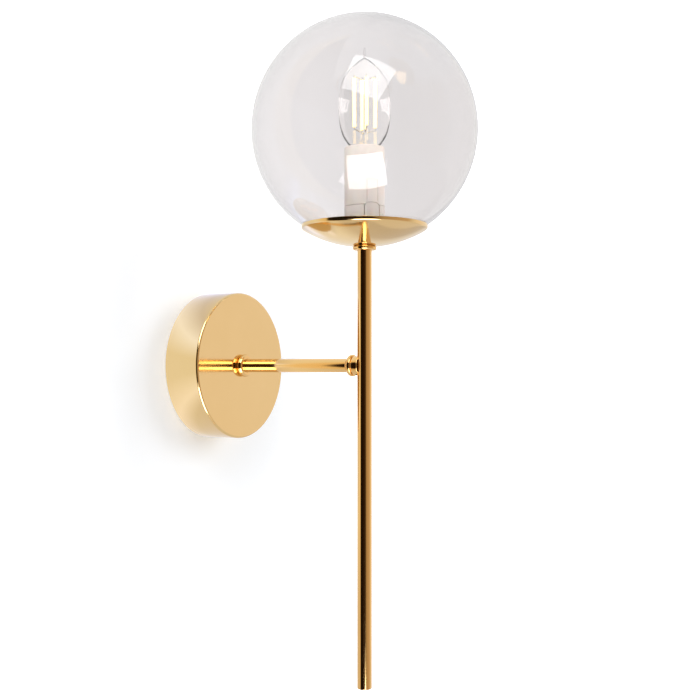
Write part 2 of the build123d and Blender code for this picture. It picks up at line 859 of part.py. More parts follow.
def make_bulb_filaments():
    """Straight coated rods round the post."""
    rod = bar(filament_dia / 2, filament_bottom, filament_top)
    return [on_rod(Rot(0, 0, angle) * Pos(filament_ring_dia / 2, 0, 0) * rod) for angle in filament_angles()]


def make_bulb_support_wires():
    """A bent wire from the stem to each filament's lower end, and one from the post to its upper end."""
    wires = []
    out = filament_ring_dia / 2
    lower = [
        (stem_tip_dia / 2 + support_gap, 0, stem_top - support_bend_height),
        (out, 0, stem_top + support_foot_rise),
        (out, 0, filament_bottom - support_gap),
    ]
    upper = [
        (post_dia / 2 + support_gap, 0, filament_top - support_bend_height),
        (out, 0, filament_top + support_wire_dia + support_bend_height),
        (out, 0, filament_top + support_gap),
    ]
    for angle in filament_angles():
        for points in (lower, upper):
            path = Polyline(*points)
            face = RegularPolygon(support_wire_dia / 2, support_wire_sides)
            section = Plane(path @ 0, z_dir=path % 0) * face
            wires.append(on_rod(Rot(0, 0, angle) * sweep(section, path, transition=Transition.RIGHT)))
    return wires


def make_bulb_screw_cap():
    """Thin metal cap round the bulb's neck, open in the middle of its foot, with a wider skirt above."""
    wall = cap_wall
    skirt = cap_skirt_dia / 2
    hole = cap_hole_dia / 2
    corners = [
        (hole, cap_bottom),
        (cap_radius, cap_bottom),
        (cap_radius, skirt_low),
        (skirt, skirt_low + cap_flare_height),
        (skirt, cap_top),
        (skirt - wall, cap_top),
        (skirt - wall, skirt_low + cap_flare_height),
        (cap_radius - wall, skirt_low),
        (cap_radius - wall, cap_bottom + wall),
        (hole, cap_bottom + wall),
    ]
    return on_rod(turned(corners))


def make_bulb_insulator():
    """Tapered insulating foot below the cap, bored for the contact's rivet."""
    bore = rivet_dia / 2 + seat_gap
    high = cap_bottom - turning_gap
    corners = [
        (bore, insulator_bottom),
        (insulator_tip_dia / 2, insulator_bottom),
        (insulator_dia / 2, high),
        (bore, high),
    ]
    return on_rod(turned(corners))


def make_bulb_foot_contact():
    """Round contact under the bulb, riveted through its insulator."""
    outer = foot_contact_dia / 2
    rivet = rivet_dia / 2
    high = cap_bottom - turning_gap
    corners = [
        (0, bulb_foot),
        (foot_contact_tip_dia / 2, bulb_foot),
        (outer, insulator_bottom - foot_contact_rim),
        (outer, insulator_bottom),
        (rivet, insulator_bottom),
        (rivet, high),
        (0, high),
    ]
    return on_rod(turned(corners))


# the wires


def core_wire(side, pocket_x):
    """One wire from the connector through arm and rod to its pocket in the lampholder."""
    x = side * wire_spread
    up = -rod_out - wire_back_of_rod
    block_x = side * terminal_pitch
    turn_start = -arm_start + wire_turn_radius
    points = [
        (block_x, -terminal_axis, terminal_above),
        (block_x, -terminal_axis, 0),
        (x, turn_start, 0),
        (x, up, 0),
        (x, up, neck_top + wire_turn_in_holder),
        (side * pocket_x, -rod_out, holder_seam - wire_turn_in_holder),
        (side * pocket_x, -rod_out, core_top - 2 * contact_thickness),
    ]
    radii = [wire_turn_radius] * 5
    radii[2] = wire_bend_radius
    return wire_along(points, radii)


def make_wire_earth():
    """Earth wire, a loop from the arm's tag back to the tag on the bracket."""
    arm_side = -(washer_back - tag_wire_height)
    wall_side = -(bracket_thickness + tag_wire_height)
    arm_top = -tag_wire_start(arm_radius + thread_clearance, tag_border)
    wall_top = -earth_screw_below - tag_wire_start(canopy_screw_dia / 2 + seat_gap, screw_tag_border)
    middle = (arm_side + wall_side) / 2
    radius = (wall_side - arm_side) / 2
    low = wall_top - tag_barrel_length
    down = Line((0, arm_side, arm_top), (0, arm_side, low))
    bend = ThreePointArc(down @ 1, (0, middle, low - radius), (0, wall_side, low))
    path = Wire([down, bend, Line(bend @ 1, (0, wall_side, wall_top))])
    return sweep(wire_section(path), path)


os.makedirs("parts", exist_ok=True)
nodes = {
    "wall_bracket": make_wall_bracket(),
    "canopy": make_canopy(),
    "canopy_screws": make_canopy_screws(),
    "earth_screw": make_earth_screw(),
    "bracket_earth_tag": make_earth_tag(),
    "terminal_block": make_terminal_block(),
    "terminal_inserts": make_terminal_inserts(),
    "terminal_screws": make_terminal_screws(),
    "terminal_block_screw": make_terminal_block_screw(),
    "arm_tube": make_arm_tube(),
    "canopy_collar": make_canopy_collar(),
    "arm_star_washer": make_arm_star_washer(),
    "arm_earth_tag": make_arm_earth_tag(),
    "arm_locknut": make_arm_locknut(),
    "arm_end_ring": make_arm_end_ring(),
    "rod_saddle": make_rod_saddle(),
    "rod_tube": make_rod_tube(),
    "rod_end_plug": make_rod_end_plug(),
    "top_collar": make_top_collar(),
    "dish": make_dish(),
    "dish_washer": make_dish_washer(),
    "dish_nut": make_dish_nut(),
    "globe_gasket": make_globe_gasket(),
    "globe": make_globe(),
    "holder_cap": make_holder_cap(),
    "holder_sleeve": make_holder_sleeve(),
    "holder_core": make_holder_core(),
    "holder_screw_shell": make_holder_screw_shell(),
    "holder_centre_contact": make_holder_centre_contact(),
    "holder_side_contact": make_holder_side_contact(),
    "bulb_glass": make_bulb_glass(),
    "bulb_stem": make_bulb_stem(),
    "bulb_filaments": make_bulb_filaments(),
    "bulb_support_wires": make_bulb_support_wires(),
    "bulb_screw_cap": make_bulb_screw_cap(),
    "bulb_insulator": make_bulb_insulator(),
    "bulb_foot_contact": make_bulb_foot_contact(),
    "wire_live": core_wire(1, live_wire_x),
    "wire_neutral": core_wire(-1, neutral_wire_x),
    "wire_earth": make_wire_earth(),
}
for name, piece in nodes.items():
    group = Compound(children=piece) if isinstance(piece, list) else piece
    export_step(group, f"parts/{name}.step")
    print(name, len(group.solids()), round(group.volume, 1))
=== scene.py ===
import math

import bmesh
import bpy
from mathutils import Euler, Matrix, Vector


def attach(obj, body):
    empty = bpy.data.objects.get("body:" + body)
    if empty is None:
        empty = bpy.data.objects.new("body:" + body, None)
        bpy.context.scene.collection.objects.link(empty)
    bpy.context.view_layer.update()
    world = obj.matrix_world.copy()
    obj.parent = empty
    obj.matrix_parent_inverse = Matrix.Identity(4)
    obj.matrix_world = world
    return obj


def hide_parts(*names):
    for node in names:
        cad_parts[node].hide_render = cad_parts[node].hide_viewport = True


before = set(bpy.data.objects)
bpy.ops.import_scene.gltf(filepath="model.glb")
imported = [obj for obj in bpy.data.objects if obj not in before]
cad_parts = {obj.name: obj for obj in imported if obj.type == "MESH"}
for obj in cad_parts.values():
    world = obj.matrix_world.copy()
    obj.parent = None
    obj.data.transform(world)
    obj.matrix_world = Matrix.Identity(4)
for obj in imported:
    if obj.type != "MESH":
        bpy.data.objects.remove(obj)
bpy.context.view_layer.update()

# ---------------------------------------------------------------------------------------------------
# Wall bracket, canopy screws and earth screw.
# A punched steel strip with its two ears bent out and slotted steel screws, all zinc plated, so they
# are a little cloudy and bluish. The strip is screwed to the wall and the canopy to its ears.


def add_node(tree, kind, feeds=(), **settings):
    """Adds a node; feeds gives each socket its value or the output that it takes it from."""
    node = tree.nodes.new(kind)
    for setting, value in settings.items():
        setattr(node, setting, value)
    for socket, value in dict(feeds).items():
        if isinstance(value, bpy.types.NodeSocket):
            tree.links.new(value, node.inputs[socket])
        else:
            node.inputs[socket].default_value = value
    return node


def between(tree, value, low, high, first=0.0, last=1.0, **settings):
    """Takes a value that goes from low to high into one that goes from first to last."""
    feeds = {"Value": value, "From Min": low, "From Max": high, "To Min": first, "To Max": last}
    return add_node(tree, "ShaderNodeMapRange", feeds, **settings).outputs["Result"]


def blend(tree, share, first, second):
    """Mixes two colours by share."""
    return add_node(tree, "ShaderNodeMix", {0: share, 6: first, 7: second}, data_type="RGBA").outputs[2]


def hand_finish():
    """Group that gives a surface its uneven colour and gloss and its fine unevenness to the touch."""
    group = bpy.data.node_groups.new("hand_finish", "ShaderNodeTree")
    inputs = (
        ("Colour", "NodeSocketColor", (0.8, 0.8, 0.8, 1)),
        ("Second Colour", "NodeSocketColor", (0.7, 0.7, 0.7, 1)),
        ("Patch Size", "NodeSocketFloat", 0.02),
        ("Roughness Low", "NodeSocketFloat", 0.2),
        ("Roughness High", "NodeSocketFloat", 0.3),
        ("Grain Size", "NodeSocketFloat", 0.001),
        ("Grain Depth", "NodeSocketFloat", 0.0),
    )
    for name, kind, value in inputs:
        group.interface.new_socket(name, in_out="INPUT", socket_type=kind).default_value = value
    for name, kind in (("Colour", "Color"), ("Roughness", "Float"), ("Normal", "Vector")):
        group.interface.new_socket(name, in_out="OUTPUT", socket_type="NodeSocket" + kind)
    given = add_node(group, "NodeGroupInput")
    place = add_node(group, "ShaderNodeTexCoord")
    noises = []
    for size in ("Patch Size", "Grain Size"):
        per_metre = add_node(group, "ShaderNodeMath", {0: 1.0, 1: given.outputs[size]}, operation="DIVIDE")
        noises.append(add_node(group, "ShaderNodeTexNoise", {
            "Vector": place.outputs["Object"], "Scale": per_metre.outputs[0], "Detail": 3.0,
        }))
    patches, grain = noises
    spread = between(group, patches.outputs["Fac"], 0.3, 0.7)
    colours = blend(group, spread, given.outputs["Colour"], given.outputs["Second Colour"])
    gloss = add_node(group, "ShaderNodeMix", {
        0: spread, 2: given.outputs["Roughness Low"], 3: given.outputs["Roughness High"],
    })
    grain_feeds = {0: grain.outputs["Fac"], 1: given.outputs["Grain Depth"]}
    relief = add_node(group, "ShaderNodeMath", grain_feeds, operation="MULTIPLY")
    bump = add_node(group, "ShaderNodeBump", {"Distance": 0.001, "Height": relief.outputs[0]})
    add_node(group, "NodeGroupOutput", {
        "Colour": colours, "Roughness": gloss.outputs[0], "Normal": bump.outputs["Normal"],
    })
    return group


finish_group = hand_finish()


def fitting_material(name, colour, second, patch, gloss, grain=(0.001, 0.0), **plain):
    """A material in the group's finish; plain gives the shader's own uniform sockets by name."""
    material = bpy.data.materials.new(name)
    material.use_nodes = True
    tree = material.node_tree
    shader = tree.nodes["Principled BSDF"]
    finish = tree.nodes.new("ShaderNodeGroup")
    finish.node_tree = finish_group
    finish.inputs["Colour"].default_value = (*colour, 1)
    finish.inputs["Second Colour"].default_value = (*second, 1)
    finish.inputs["Patch Size"].default_value = patch
    finish.inputs["Roughness Low"].default_value = gloss[0]
    finish.inputs["Roughness High"].default_value = gloss[1]
    finish.inputs["Grain Size"].default_value = grain[0]
    finish.inputs["Grain Depth"].default_value = grain[1]
    tree.links.new(finish.outputs["Colour"], shader.inputs["Base Color"])
    tree.links.new(finish.outputs["Roughness"], shader.inputs["Roughness"])
    tree.links.new(finish.outputs["Normal"], shader.inputs["Normal"])
    for socket, value in plain.items():
        shader.inputs[socket.replace("_", " ")].default_value = value
    return material


def finish_nodes(material, *names):
    """Gives carried-over pieces their material."""
    for name in names:
        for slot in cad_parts[name].material_slots:
            slot.material = material


zinc_plate = fitting_material(
    "zinc_plate", (0.60, 0.62, 0.65), (0.50, 0.52, 0.56), 0.006, (0.28, 0.42), (0.0006, 0.05), Metallic=1.0
)
finish_nodes(zinc_plate, "wall_bracket", "earth_screw", "arm_star_washer", "arm_locknut")
gold_screw = fitting_material(
    "gold_screw", (0.80, 0.585, 0.285), (0.76, 0.55, 0.26), 0.004, (0.14, 0.22), (0.0005, 0.02), Metallic=1.0
)
finish_nodes(gold_screw, "canopy_screws")

# ---------------------------------------------------------------------------------------------------
# Terminal block with its inserts and screws, and the crimped earth tags.
# The block is moulded in milky nylon on extruded brass inserts, its screws are plated steel and the
# tags are stamped from tinned brass.

milky_nylon = fitting_material(
    "milky_nylon", (0.84, 0.83, 0.78), (0.78, 0.77, 0.72), 0.01, (0.35, 0.45), (0.0008, 0.05),
    Subsurface_Weight=0.25, Subsurface_Scale=0.002,
)
bare_brass = fitting_material(
    "bare_brass", (0.75, 0.56, 0.26), (0.66, 0.47, 0.21), 0.004, (0.22, 0.36), (0.0006, 0.04), Metallic=1.0
)
tinned_brass = fitting_material(
    "tinned_brass", (0.72, 0.70, 0.66), (0.62, 0.60, 0.56), 0.004, (0.25, 0.38), (0.0006, 0.04), Metallic=1.0
)
finish_nodes(milky_nylon, "terminal_block")
finish_nodes(bare_brass, "terminal_inserts")
finish_nodes(zinc_plate, "terminal_screws", "terminal_block_screw")
finish_nodes(tinned_brass, "bracket_earth_tag", "arm_earth_tag")

# ---------------------------------------------------------------------------------------------------
# Wires.
# Stranded copper in soft plastic insulation: brown live, blue neutral and a green and yellow earth.
# They run from the block through the arm and up the rod to the lampholder.

wire_gloss = (0.38, 0.5)
brown_insulation = fitting_material(
    "brown_insulation", (0.13, 0.055, 0.025), (0.10, 0.042, 0.02), 0.01, wire_gloss
)
blue_insulation = fitting_material(
    "blue_insulation", (0.03, 0.12, 0.42), (0.025, 0.10, 0.36), 0.01, wire_gloss
)
earth_insulation = fitting_material(
    "earth_insulation", (0.05, 0.30, 0.06), (0.62, 0.58, 0.04), 0.003, wire_gloss
)
finish_nodes(brown_insulation, "wire_live")
finish_nodes(blue_insulation, "wire_neutral")
finish_nodes(earth_insulation, "wire_earth")

# ---------------------------------------------------------------------------------------------------
# Canopy.
# A cup drawn from sheet brass with a small rounded front edge, polished, plated in pale gold and
# lacquered. It hides the bracket and is held by a screw above and one below.

MM = 0.001
rod_out = 134.0


def rounded(corners, steps=7):
    """The outline (radius, height) of a closed loop of corners, those with a third number rounded by it.

    A point just beyond each end of a rounding keeps the flats flat under smooth shading.
    """
    count = len(corners)
    spots = [Vector(corner[:2]) for corner in corners]
    radii = [corner[2] if len(corner) > 2 else 0 for corner in corners]
    sides = []
    taken = []
    for place, at in enumerate(spots):
        back = (spots[place - 1] - at).normalized()
        on = (spots[(place + 1) % count] - at).normalized()
        half = back.angle(on) / 2
        sides.append((back, on, half))
        taken.append(radii[place] / math.tan(half) if radii[place] else 0)
    points = []
    for place, at in enumerate(spots):
        radius = radii[place]
        if not radius:
            points.append(tuple(at))
            continue
        back, on, half = sides[place]
        beyond = 0.12 * radius
        room = (spots[place - 1] - at).length - taken[place - 1] - taken[place]
        if room > 3 * beyond:
            points.append(tuple(at + back * (taken[place] + beyond)))
        centre = at + (back + on).normalized() * radius / math.sin(half)
        start = at + back * taken[place] - centre
        end = at + on * taken[place] - centre
        sweep = start.angle(end)
        for step in range(steps + 1):
            share = step / steps
            arm = start * math.sin((1 - share) * sweep) + end * math.sin(share * sweep)
            points.append(tuple(centre + arm / math.sin(sweep)))
        room = (spots[(place + 1) % count] - at).length - taken[(place + 1) % count] - taken[place]
        if room > 3 * beyond:
            points.append(tuple(at + on * (taken[place] + beyond)))
    return points


def turned(name, outline, along, segments, material, closed=True):
    """Turns an outline of (radius, height) in millimetres about the arm's or the rod's axis."""
    mesh = bmesh.new()
    rows = []
    for radius, height in outline:
        row = []
        for step in range(segments if radius > 1e-6 else 1):
            turn = 2 * math.pi * step / segments
            side = radius * math.cos(turn)
            other = radius * math.sin(turn)
            if along == "arm":
                row.append(mesh.verts.new((side * MM, -height * MM, other * MM)))
            else:
                row.append(mesh.verts.new((side * MM, (other - rod_out) * MM, height * MM)))
        rows.append(row)
    pairs = list(zip(rows, rows[1:]))
    if closed:
        pairs.append((rows[-1], rows[0]))
    for low, high in pairs:
        if len(low) == 1 and len(high) == 1:
            continue
        for step in range(segments):
            after = (step + 1) % segments
            corners = [low[step % len(low)], low[after % len(low)]]
            corners += [high[after % len(high)], high[step % len(high)]]
            mesh.faces.new(list(dict.fromkeys(corners)))
    bmesh.ops.recalc_face_normals(mesh, faces=mesh.faces)
    data = bpy.data.meshes.new(name)
    mesh.to_mesh(data)
    mesh.free()
    data.polygons.foreach_set("use_smooth", [True] * len(data.polygons))
    data.set_sharp_from_angle(angle=math.radians(34))
    data.materials.append(material)
    piece = bpy.data.objects.new(name, data)
    bpy.context.scene.collection.objects.link(piece)
    return piece


canopy_radius = 55.0
canopy_depth = 29.0
canopy_wall = 1.0
front_rounding = 1.7
arm_hole = 5.25
pale_gold = fitting_material(
    "pale_gold", (0.80, 0.585, 0.285), (0.785, 0.57, 0.27), 0.03, (0.10, 0.13), (0.0012, 0.003),
    Metallic=1.0, Coat_Weight=0.25, Coat_Roughness=0.06,
)
canopy_shell = turned(
    "canopy_shell",
    rounded([
        (arm_hole, canopy_depth - canopy_wall),
        (canopy_radius - canopy_wall, canopy_depth - canopy_wall, 0.8),
        (canopy_radius - canopy_wall, 0.0),
        (canopy_radius, 0.0, 0.25),
        (canopy_radius, canopy_depth, front_rounding),
        (arm_hole, canopy_depth),
    ]),
    "arm", 192, pale_gold,
)
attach(canopy_shell, "fixture")
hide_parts("canopy")

# ---------------------------------------------------------------------------------------------------
# Arm with its canopy collar, end ring and rod saddle.
# Brass tube and rings turned from bar, polished and plated in a slightly deeper gold. The arm screws
# into the saddle, the end ring locks it there, and the collar closes the hole in the canopy.

deep_gold = fitting_material(
    "deep_gold", (0.85, 0.565, 0.235), (0.83, 0.545, 0.22), 0.02, (0.06, 0.09), (0.001, 0.003),
    Metallic=1.0, Coat_Weight=0.25, Coat_Roughness=0.04,
)
arm_radius = 5.0
arm_bore = 3.5
arm_start = 21.0
arm_end = 128.75
ring_hole = 5.05
collar_radius = 8.5
collar_front = 33.6
end_ring_back = 121.0
end_ring_radius = 7.8
saddle_back = 125.8
saddle_front = 131.0
saddle_radius = 6.9
arm = turned(
    "arm",
    rounded([(arm_bore, arm_start), (arm_radius, arm_start), (arm_radius, arm_end), (arm_bore, arm_end)]),
    "arm", 64, deep_gold,
)
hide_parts("arm_tube")
collar = turned(
    "collar",
    rounded([
        (ring_hole, canopy_depth), (collar_radius, canopy_depth, 2.1),
        (collar_radius, collar_front, 2.1), (ring_hole, collar_front, 0.15),
    ], 10),
    "arm", 96, deep_gold,
)
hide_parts("canopy_collar")
end_ring = turned(
    "end_ring",
    rounded([
        (ring_hole, end_ring_back), (5.55, end_ring_back, 0.2), (end_ring_radius, 123.16, 1.44),
        (end_ring_radius, saddle_back, 0.96), (ring_hole, saddle_back),
    ], 10),
    "arm", 96, deep_gold,
)
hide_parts("arm_end_ring")
rod_radius = 5.2
saddle = turned(
    "saddle",
    rounded([
        (ring_hole, saddle_back), (saddle_radius, saddle_back, 0.75),
        (saddle_radius, saddle_front, 0.5), (ring_hole, saddle_front),
    ], 8),
    "arm", 128, deep_gold,
)
for corner in saddle.data.vertices:
    across = corner.co.x / MM
    if abs(across) < rod_radius:
        deepest = rod_out - math.sqrt(rod_radius**2 - across**2)
        corner.co.y = max(corner.co.y, -deepest * MM)
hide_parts("rod_saddle")
for piece in (arm, collar, end_ring, saddle):
    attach(piece, "fixture")

# ---------------------------------------------------------------------------------------------------
# Rod, its end plug and the top collar.
# A straight polished tube that hangs free below the arm, closed by a flat pressed plug. Its top is
# turned down and threaded, and the collar sits on that shoulder.

rod_bore = 3.7
rod_bottom = -226.5
rod_shoulder = 81.17
rod_top = 95.77
thread_radius = 5.0
rod = turned(
    "rod",
    rounded([
        (rod_bore, rod_bottom), (rod_radius, rod_bottom), (rod_radius, rod_shoulder),
        (thread_radius, rod_shoulder), (thread_radius, rod_top), (rod_bore, rod_top),
    ]),
    "rod", 64, deep_gold,
)
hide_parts("rod_tube")
plug_bottom = -227.5
plug_top = -219.5
plug_radius = 3.66
rod_plug = turned(
    "rod_plug",
    rounded([
        (0.0, plug_bottom), (rod_radius, plug_bottom, 0.3), (rod_radius, rod_bottom),
        (plug_radius, rod_bottom), (plug_radius, plug_top), (0.0, plug_top),
    ]),
    "rod", 64, deep_gold, closed=False,
)
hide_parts("rod_end_plug")
dish_seat = 84.37
top_ring_radius = 8.45
top_ring = turned(
    "top_ring",
    rounded([
        (ring_hole, rod_shoulder), (top_ring_radius, rod_shoulder, 1.45),
        (top_ring_radius, dish_seat, 1.45), (ring_hole, dish_seat),
    ], 10),
    "rod", 96, deep_gold,
)
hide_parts("top_collar")
for piece in (rod, rod_plug, top_ring):
    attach(piece, "fixture")

# ---------------------------------------------------------------------------------------------------
# Dish with its washer and nut.
# Spun from sheet brass over a former: a flat seat, a shallow round belly and a short upright lip, all
# polished and plated. The nut inside clamps it to the collar.

dish_wall = 1.0
dish_middle = 170.3
dish_curve = 86.4
dish_radius = 44.6
dish_floor = 85.37
seat_radius = 8.6
lip_top = 98.95
lip_foot = dish_middle - math.sqrt(dish_curve**2 - dish_radius**2)


def ball_arc(middle, curve, start, end, steps):
    """Points on the lower half of a ball, from one radius about the rod to another."""
    first = math.asin(start / curve)
    last = math.asin(end / curve)
    turns = [first + (last - first) * step / steps for step in range(steps + 1)]
    return [(curve * math.sin(turn), middle - curve * math.cos(turn)) for turn in turns]


belly_out = ball_arc(dish_middle, dish_curve, 9.0, dish_radius - 1.3, 30)
belly_in = ball_arc(dish_middle, dish_curve - dish_wall, dish_radius - dish_wall - 0.7, 6.6, 30)
lip = rounded([
    belly_out[-1],
    (dish_radius, lip_foot + 0.1, 1.5),
    (dish_radius, lip_top, 0.2),
    (dish_radius - dish_wall, lip_top - 0.5, 0.15),
    (dish_radius - dish_wall, lip_foot + 1.0, 0.6),
    belly_in[0],
])
dish_shell = turned(
    "dish_shell",
    [(ring_hole, dish_seat), (seat_radius, dish_seat)] + belly_out[:-1] + lip + belly_in[1:]
    + [(ring_hole, dish_floor)],
    "rod", 192, pale_gold,
)
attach(dish_shell, "fixture")
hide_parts("dish")
finish_nodes(zinc_plate, "dish_washer", "dish_nut")

# ---------------------------------------------------------------------------------------------------
# Gasket and globe.
# A clear silicone ring lies in the dish so that glass never meets metal. The globe is a blown ball of
# clear glass with one ground and polished hole below; it only stands there and lifts off.

clear_silicone = fitting_material(
    "clear_silicone", (0.86, 0.86, 0.85), (0.80, 0.80, 0.79), 0.01, (0.35, 0.5), (0.001, 0.02),
    Transmission_Weight=0.7, IOR=1.41,
)
finish_nodes(clear_silicone, "globe_gasket")

globe_middle = 165.2
globe_radius = 79.5
globe_wall = 1.8
globe_mouth = 24.0


def either(tree, share, first, second):
    """Mixes two shaders by share."""
    return add_node(tree, "ShaderNodeMixShader", {0: share, 1: first, 2: second}).outputs[0]


def glass_material(name, colour, second, rim, gloss, index):
    """Clear glass, tinted deeper at its rim, that lets lamps shine through to what stands inside it."""
    material = fitting_material(name, colour, second, 0.05, gloss, Transmission_Weight=1.0, IOR=index)
    tree = material.node_tree
    shader = tree.nodes["Principled BSDF"]
    finish = shader.inputs["Base Color"].links[0].from_node
    slant = add_node(tree, "ShaderNodeLayerWeight", {"Blend": 0.5})
    steep = between(tree, slant.outputs["Facing"], 0.45, 0.95)
    tint = blend(tree, steep, finish.outputs["Colour"], (*rim, 1))
    tree.links.new(tint, shader.inputs["Base Color"])
    clear = add_node(tree, "ShaderNodeBsdfTransparent", {"Color": (*colour, 1)})
    rays = add_node(tree, "ShaderNodeLightPath")
    mixed = either(tree, rays.outputs["Is Shadow Ray"], shader.outputs[0], clear.outputs[0])
    tree.links.new(mixed, tree.nodes["Material Output"].inputs["Surface"])
    return material


def ball_shell(curve, mouth, steps):
    """Points down a ball's side from its top to its mouth, as (radius, height) about its middle."""
    last = math.pi - math.asin(mouth / curve)
    turns = [last * step / steps for step in range(steps + 1)]
    return [(curve * math.sin(turn), curve * math.cos(turn)) for turn in turns]


globe_glass = glass_material(
    "globe_glass", (0.92, 0.903, 0.905), (0.915, 0.898, 0.90), (0.78, 0.77, 0.777), (0.0, 0.004), 1.45
)
globe_steps = 88
ground_edge = 0.35
outer_side = ball_shell(globe_radius, globe_mouth + 0.3, globe_steps)
inner_side = ball_shell(globe_radius - globe_wall, globe_mouth + 0.3, globe_steps)
rim_low = outer_side[-1][1]
rim_high = inner_side[-1][1]
rim = [(globe_mouth, rim_low + ground_edge), (globe_mouth, rim_high - ground_edge)]
globe_ball = turned(
    "globe_ball",
    [(radius, height + globe_middle) for radius, height in outer_side + rim + inner_side[::-1]],
    "rod", 192, globe_glass, closed=False,
)
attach(globe_ball, "globe_glass")
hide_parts("globe")

# ---------------------------------------------------------------------------------------------------
# Lampholder.
# Cap and sleeve are moulded in ivory white plastic and snap together at the finger; the core inside
# is a hard white moulding that carries the brass contacts and the rolled nickel-plated screw shell.

ivory_plastic = fitting_material(
    "ivory_plastic", (0.86, 0.80, 0.735), (0.84, 0.78, 0.715), 0.015, (0.32, 0.40), (0.0006, 0.008),
    Subsurface_Weight=0.12, Subsurface_Scale=0.002,
)
core_white = fitting_material(
    "core_white", (0.76, 0.74, 0.70), (0.72, 0.70, 0.66), 0.008, (0.4, 0.5), (0.0005, 0.05)
)
finish_nodes(ivory_plastic, "holder_cap", "holder_sleeve")
finish_nodes(core_white, "holder_core")
finish_nodes(bare_brass, "holder_centre_contact", "holder_side_contact")

thread_pitch = 2.82
thread_wave = 0.2
thread_runout = 1.2


def thread_rows(radius, low, high):
    """Rows of (radius, height, wave) up a thin wall whose rolled thread dies out at both ends."""
    steps = int((high - low) / thread_pitch * 10)
    rows = []
    for step in range(steps + 1):
        height = low + (high - low) * step / steps
        fade = min(1.0, (height - low) / thread_runout, (high - height) / thread_runout)
        rows.append((radius, height, thread_wave * fade))
    return rows


def threaded(name, rows, segments, material):
    """Turns rows of (radius, height, wave) about the rod, the wave running round as a right-hand thread."""
    piece = turned(name, [row[:2] for row in rows], "rod", segments, material)
    waves = [row[2] for row in rows for _ in range(segments)]
    for corner, wave in zip(piece.data.vertices, waves):
        x = corner.co.x
        y = corner.co.y + rod_out * MM
        turn = math.atan2(y, x)
        grow = wave * MM * math.cos(2 * math.pi * corner.co.z / (thread_pitch * MM) - turn)
        length = math.hypot(x, y)
        corner.co.x += grow * x / length
        corner.co.y += grow * y / length
    return piece


nickel_plate = fitting_material(
    "nickel_plate", (0.66, 0.63, 0.58), (0.60, 0.57, 0.52), 0.006, (0.16, 0.26), (0.0006, 0.03), Metallic=1.0
)
shell_seat = 121.47
shell_floor = 121.87
shell_top = 138.75
shell_radius = 7.68
shell_bore = 7.28
foot_radius = 9.5
foot_hole = 5.3
shell_outside = thread_rows(shell_radius, shell_floor, shell_top)
shell_inside = [(shell_bore, height, wave) for _, height, wave in reversed(shell_outside)]
screw_shell = threaded(
    "screw_shell",
    [(foot_hole, shell_seat, 0), (foot_radius, shell_seat, 0), (foot_radius, shell_floor, 0)]
    + shell_outside + shell_inside + [(foot_hole, shell_floor, 0)],
    72, nickel_plate,
)
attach(screw_shell, "fixture")
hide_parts("holder_screw_shell")

# ---------------------------------------------------------------------------------------------------
# Bulb cap, insulator and foot contact.
# The cap is rolled from thin nickel-plated brass with the thread pressed in and a wider skirt for the
# glass; black glass closes its foot, and the contact is a drop of solder on a brass eyelet.

cap_foot = 127.47
cap_floor = 127.77
cap_top = 150.67
cap_radius = 6.7
skirt_radius = 7.7
skirt_bore = 7.4
cap_skin = threaded(
    "cap_skin",
    [(2.8, cap_floor, 0), (2.8, cap_foot, 0), (6.2, cap_foot, 0)]
    + thread_rows(cap_radius, 128.1, 145.9)
    + [(6.75, 146.17, 0), (skirt_radius, 147.17, 0), (skirt_radius, cap_top, 0)]
    + [(skirt_bore, cap_top, 0), (skirt_bore, 147.25, 0), (6.45, 146.3, 0)]
    + [(6.4, 128.3, 0), (6.2, cap_floor, 0)],
    72, nickel_plate,
)
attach(cap_skin, "bulb")
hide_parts("bulb_screw_cap")
black_glass = fitting_material("black_glass", (0.012, 0.012, 0.013), (0.02, 0.02, 0.02), 0.004, (0.12, 0.2))
solder = fitting_material(
    "solder", (0.62, 0.61, 0.60), (0.52, 0.51, 0.50), 0.002, (0.3, 0.45), (0.0008, 0.15), Metallic=1.0
)
finish_nodes(black_glass, "bulb_insulator")
finish_nodes(solder, "bulb_foot_contact")

# ---------------------------------------------------------------------------------------------------
# Bulb glass, stem and support wires.
# A thin clear blown candle, drawn out to a solid tip where it was sealed, so that the tip looks deeper.
# The pressed glass stem inside carries the nickel wires that hold the filaments.

bulb_glass = glass_material(
    "bulb_clear_glass", (0.985, 0.98, 0.975), (0.98, 0.975, 0.97), (0.90, 0.87, 0.865), (0.0, 0.004), 1.11
)
pip_glass = glass_material(
    "pip_glass", (0.84, 0.83, 0.83), (0.82, 0.81, 0.81), (0.22, 0.21, 0.21), (0.0, 0.004), 1.5
)
glass_low = 147.22
glass_wall = 0.45
pip_start = 217.2
candle_stations = (
    (7.05, cap_top), (8.6, 152.3), (10.7, 154.9), (12.77, 157.76), (15.2, 161.7), (17.1, 167.6),
    (18.2, 174.8), (18.5, 182.17), (18.15, 189.5), (17.0, 196.7), (15.45, 201.5), (13.6, 204.53),
    (11.0, 208.0), (7.8, 211.5), (4.3, 214.7), (1.4, 216.9),
)


